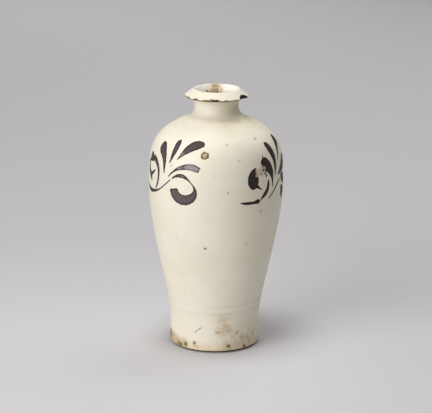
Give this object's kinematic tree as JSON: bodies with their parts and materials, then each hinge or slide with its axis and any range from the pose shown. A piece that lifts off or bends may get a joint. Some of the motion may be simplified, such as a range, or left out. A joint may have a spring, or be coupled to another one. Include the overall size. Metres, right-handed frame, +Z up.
{
  "type": "vase",
  "caption": "Tall meiping vase with a narrow foot, high round shoulder, short neck and conical lip, cream glazed with dark brushed leaf sprigs.",
  "frame": {"origin": "centre of the foot ring's resting face", "axes": "+Z up along the vase's axis of turning; the front, between the two sprigs that the picture shows, faces -Y"},
  "size_m": [0.1183, 0.1184, 0.23],
  "materials": {
    "stoneware": "matte",
    "lute_slip": "matte",
    "white_glaze": "gloss",
    "brown_pigment": "gloss"
  },
  "bodies": {
    "root": {"lower_body": "stoneware", "upper_body": "stoneware", "neck_and_lip": "stoneware", "body_seam_lute": "lute_slip", "neck_seam_lute": "lute_slip", "slip_and_glaze": "white_glaze", "sprig_left": "brown_pigment", "sprig_right": "brown_pigment", "sprig_back": "brown_pigment"}
  },
  "joints": []
}
